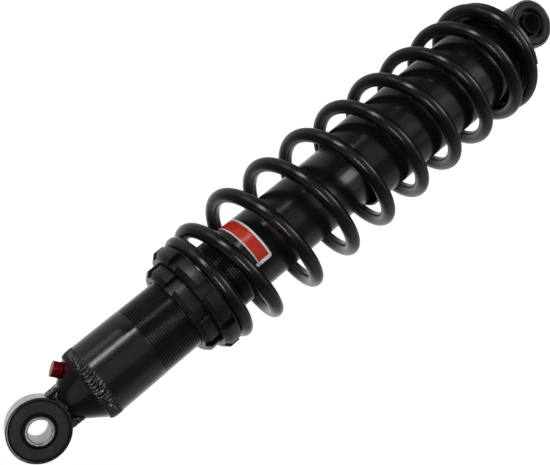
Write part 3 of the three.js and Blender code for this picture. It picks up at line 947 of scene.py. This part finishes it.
def dust_shield():
    floor, top = low("dust_shield").z, high("dust_shield").z
    flange = high("dust_shield").x
    bottom_radius, top_radius, wall = 33.4, 31.2, 1.5
    piece = turned("dust_shield_sleeve", [
        (6.6, floor, 0.3), (flange, floor, 0.5), (flange, floor + 2, 0.6), (bottom_radius, floor + 2, 0.8),
        (top_radius, top, 0.6), (top_radius - wall, top, 0.5), (bottom_radius - wall, floor + 2, 1.0),
        (6.6, floor + 2, 0.3),
    ], segments=180)
    stands_for(piece, "dust_shield")


# ---------------------------------------------------------------- hidden pieces


def ring_piece(node, inner, outer, fillet, name):
    piece = turned(name, box_outline(inner, outer, low(node).z, high(node).z), segments=96, fillet=fillet)
    stands_for(piece, node)


def hidden_pieces():
    ring_piece("thrust_washer", RING_BORE, 38.5, 0.3, "thrust_washer_nylon")
    ring_piece("seal_head_oring", 20.2, 21.7, 0.7, "seal_head_ring")
    ring_piece("floating_piston_oring", 19.9, 21.7, 0.8, "floating_piston_ring")
    ring_piece("rod_guide_bush", 8.2, 9.1, 0.2, "rod_guide_lining")
    ring_piece("piston_band", 19.9, 21.7, 0.3, "piston_wear_band")
    ring_piece("top_out_bumper", 8.4, 14, 1.2, "top_out_cushion")
    rod_top = high("damper_rod").z
    rod_low = low("damper_rod").z
    stands_for(turned("damper_rod_chromed", [
        (0, rod_low), (6, rod_low, 0.6), (6, 50.3, 0.2), (8, 50.3, 0.8), (8, 219.4, 0.5), (5, 219.4, 0.2),
        (5, rod_top, 0.6), (0, rod_top),
    ], segments=128), "damper_rod")
    third = (high("bump_stop").z - low("bump_stop").z) / 3
    base = low("bump_stop").z
    stands_for(turned("bump_stop_foam", [
        (8.4, base, 0.5), (18, base, 1.2), (19.5, base + third * 0.5, 3), (16.5, base + third, 1.5),
        (19, base + third * 1.5, 3), (16, base + third * 2, 1.5), (17.5, base + third * 2.5, 2.5),
        (15, base + third * 3, 1.2), (8.4, base + third * 3, 0.5),
    ], segments=128, steps=6), "bump_stop")
    for node, radius, hole in (("jam_nut", 11.0, 6.3), ("piston_nut", 9.8, 5.3)):
        bottom, top = low(node).z, high(node).z
        nut = prism(node + "_steel", 6, radius, bottom, top)
        bore = turned("cutter", [
            (0, bottom - 2), (hole + 1, bottom - 2), (hole, bottom + 0.6), (hole, top - 0.6),
            (hole + 1, top + 2), (0, top + 2),
        ], segments=64, fillet=0)
        flat = radius * 0.87
        trim = turned("cutter", [
            (flat, top + 0.4), (radius + 2, top + 0.4), (radius + 2, top - 2), (radius * 1.001, top - 1.2),
            (flat, top + 0.02),
        ], segments=96, fillet=0)
        carve(nut, bore, trim)
        stands_for(bevelled(nut, 0.15, angle=28), node)
    z = low("seal_head").z
    stands_for(turned("seal_head_alloy", [
        (12.3, z), (21.7, z), (21.7, z + 8.9), (19.9, z + 8.9), (19.9, z + 11.5), (21.7, z + 11.5),
        (21.7, z + 20), (12.3, z + 20), (12.3, z + 14), (9.4, z + 14), (9.4, z + 5), (12.3, z + 5),
    ], segments=128, fillet=0.25), "seal_head")
    for node, name in (("rod_wiper", "rod_wiper_lip"), ("rod_seal", "rod_seal_lip")):
        bottom, top = low(node).z, high(node).z
        stands_for(turned(name, [
            (8.25, bottom, 0.1), (9.6, bottom + 1.6, 0.3), (10.4, bottom + 1.6, 0.3), (11.4, bottom, 0.4),
            (12, bottom, 0.3), (12, top, 0.4), (8.6, top, 0.3), (8.25, bottom + 2.2, 0.2),
        ], segments=96), node)
    z = low("floating_piston").z
    stands_for(turned("floating_piston_alloy", [
        (0, z), (21.3, z, 0.5), (21.3, z + 8), (19.6, z + 8), (19.6, z + 11), (21.3, z + 11),
        (21.3, z + 20, 0.5), (18.3, z + 20, 0.5), (18.3, z + 5, 1.5), (0, z + 5),
    ], segments=128, fillet=0.2), "floating_piston")
    z, h = low("main_piston").z, high("main_piston").z - low("main_piston").z
    piston = turned("main_piston_alloy", [
        (5.3, z), (21.3, z, 0.4), (21.3, z + 3.3), (19.6, z + 3.3), (19.6, z + h - 3.7), (21.3, z + h - 3.7),
        (21.3, z + h, 0.4), (5.3, z + h),
    ], segments=128, fillet=0.15)
    ports, count, port_radius, port_circle = [], 6, 2, 13
    for k in range(count):
        port = turned("cutter", box_outline(0, port_radius, z - 1, z + h + 1), segments=32, fillet=0)
        outwards = Matrix.Translation((port_circle * MM, 0, 0))
        port.data.transform(Matrix.Rotation(TAU * k / count, 4, "Z") @ outwards)
        ports.append(port)
    carve(piston, *ports)
    stands_for(shade(piston), "main_piston")
    radii, thick = (10, 13, 16, 19), 0.65
    for node, order in (("rebound_shim_stack", radii), ("compression_shim_stack", radii[::-1])):
        z = low(node).z
        outline = [(5.3, z)]
        for k, radius in enumerate(order):
            outline += [(radius, z + thick * k), (radius, z + thick * (k + 1))]
        outline.append((5.3, z + thick * len(order)))
        stands_for(turned(node + "_discs", outline, segments=128, fillet=0.08, steps=2), node)
    circlip()


def circlip():
    z, radius, corner = middle("seal_head_circlip").z, 21.4, 0.25
    start, end = math.radians(20), math.radians(340)
    section = soften([(-1.35, -0.95), (1.35, -0.95), (1.35, 0.95), (-1.35, 0.95)], corner, 3)

    def path_point(t):
        angle = start + (end - start) * t
        across = Vector((math.cos(angle), math.sin(angle), 0))
        return across * radius + Vector((0, 0, z)), across, Vector((0, 0, 1)), 1.0

    piece = swept("seal_head_snap_ring", path_point, 160, section)
    bm = bmesh.new()
    bm.from_mesh(piece.data)
    bmesh.ops.recalc_face_normals(bm, faces=bm.faces)
    bm.to_mesh(piece.data)
    bm.free()
    stands_for(piece, "seal_head_circlip")


# ---------------------------------------------------------------- build

bushing("upper_bushing", 2.6, 10.3)
bushing("lower_bushing", 4.5, 11.9)
for node in ("upper_sleeve", "lower_sleeve"):
    sleeve(node)
upper_mount()
weld_bead()
charge_screw()
damper_tube()
label()
slotted_ring("preload_ring", 40.3, 36.7, 9, math.radians(279.6))
slotted_ring("lock_ring", 33.6, 30.2, 8, math.radians(261.3))
coil_spring()
lower_mount()
lower_retainer()
dust_shield()
hidden_pieces()

# ---------------------------------------------------------------- studio

FLOOR = low("lower_mount").z - 0.05
MIDDLE, LOWER_PART = (0, 0, 0.24), (0, 0, 0.1)      # where the lamps are aimed, in metres


def studio_floor():
    size, z = 40.0, FLOOR * MM
    corners = [(-size, -size, z), (size, -size, z), (size, size, z), (-size, size, z)]
    floor = new_object("studio_floor", corners, [(0, 1, 2, 3)])
    n = Nodes("studio_floor")
    n.tint(n.noise(3, 2), (0.86, 0.86, 0.86), (0.88, 0.88, 0.88))
    n.rough(n.noise(12, 2), 0.6, 0.7)
    n.set(Emission_Color=(1, 1, 1, 1), Emission_Strength=0.9)
    floor.data.materials.append(n.material)
    floor.visible_glossy = False
    floor.visible_diffuse = False
    floor.visible_shadow = False


def aim(made, target):
    made.rotation_euler = (target - made.location).to_track_quat("-Z", "Y").to_euler()


def softbox(name, azimuth, elevation, distance, width, height, power, target=MIDDLE):
    """A rectangular lamp, at a distance in metres from the point it is aimed at."""
    lamp = bpy.data.lights.new(name, "AREA")
    lamp.shape = "RECTANGLE"
    lamp.size, lamp.size_y = width, height
    lamp.energy = power
    made = bpy.data.objects.new(name, lamp)
    target = Vector(target)
    made.location = target + distance * direction(math.radians(azimuth), math.radians(elevation))
    bpy.context.scene.collection.objects.link(made)
    aim(made, target)


def studio_world():
    """A room that lights the object from behind and the sides, less from the front, overhead and underfoot.
    Seen directly by the camera it is plain white."""
    world = bpy.data.worlds.new("studio")
    bpy.context.scene.world = world
    world.use_nodes = True
    tree = world.node_tree
    background = tree.nodes["Background"]
    coords = tree.nodes.new("ShaderNodeTexCoord")

    def falloff(axis, stops):
        facing = tree.nodes.new("ShaderNodeVectorMath")
        facing.operation = "DOT_PRODUCT"
        facing.inputs[1].default_value = axis
        tree.links.new(coords.outputs["Generated"], facing.inputs[0])
        share = tree.nodes.new("ShaderNodeMapRange")
        share.inputs["From Min"].default_value = -1
        tree.links.new(facing.outputs["Value"], share.inputs["Value"])
        ramp = tree.nodes.new("ShaderNodeValToRGB")
        points = ramp.color_ramp.elements
        for where, grey in stops:
            position = (where + 1) / 2
            point = points[0] if position == 0 else points[-1] if position == 1 else points.new(position)
            point.color = (grey, grey, grey, 1)
        tree.links.new(share.outputs["Result"], ramp.inputs["Fac"])
        return ramp.outputs["Color"]

    front = (math.cos(math.radians(-81)), math.sin(math.radians(-81)), 0)
    depth = falloff(front, ((-1, 1.0), (-0.88, 1.0), (-0.6, 0.5), (0.1, 0.36), (0.36, 0.1), (1, 0.08)))
    height = falloff((0, 0, 1), ((-1, 0.08), (-0.9, 0.1), (-0.65, 0.9), (0.2, 1.0), (0.6, 0.3), (1, 0.12)))
    product = tree.nodes.new("ShaderNodeMix")
    product.data_type = "RGBA"
    product.blend_type = "MULTIPLY"
    product.inputs["Factor"].default_value = 1
    tree.links.new(depth, product.inputs["A"])
    tree.links.new(height, product.inputs["B"])
    sight = tree.nodes.new("ShaderNodeLightPath")
    pick = tree.nodes.new("ShaderNodeMix")
    pick.data_type = "RGBA"
    tree.links.new(sight.outputs["Is Camera Ray"], pick.inputs["Factor"])
    tree.links.new(product.outputs["Result"], pick.inputs["A"])
    pick.inputs["B"].default_value = (1, 1, 1, 1)
    tree.links.new(pick.outputs["Result"], background.inputs["Color"])


def camera():
    """Looks from where the photo was taken, rolled so that the long axis leans as it does there."""
    lens_mm, distance = 51.5, 0.55
    target = Vector((-0.0004, 0, 0.2749))
    azimuth, elevation, roll = math.radians(-81.1), math.radians(19.4), math.radians(129.6)
    data = bpy.data.cameras.new("camera")
    data.lens = lens_mm
    data.clip_end = 200
    made = bpy.data.objects.new("camera", data)
    outward = direction(azimuth, elevation)
    made.location = target + outward * distance
    turn = (-outward).to_track_quat("-Z", "Y").to_matrix() @ Matrix.Rotation(-roll, 3, "Z")
    made.rotation_euler = turn.to_euler()
    bpy.context.scene.collection.objects.link(made)
    bpy.context.scene.camera = made
    bpy.context.scene.view_settings.view_transform = "Standard"


studio_floor()
studio_world()
softbox("strip_key", -41, 3, 1.3, 0.2, 0.9, 5.4)
softbox("side_panel", -13, 6, 1.5, 0.4, 1.0, 1.3)
softbox("top_soft", -60, 70, 1.6, 1.0, 1.0, 0.9)
softbox("front_glint", -91, 30, 0.8, 0.35, 0.05, 1.3)
softbox("front_low", -88, -18, 1.0, 0.9, 1.3, 1.0, target=LOWER_PART)
softbox("front_lower", -97, -44, 0.9, 0.38, 0.4, 1.5, target=LOWER_PART)
softbox("front_floor", -118, -36, 1.1, 1.1, 0.6, 0.8, target=LOWER_PART)
camera()
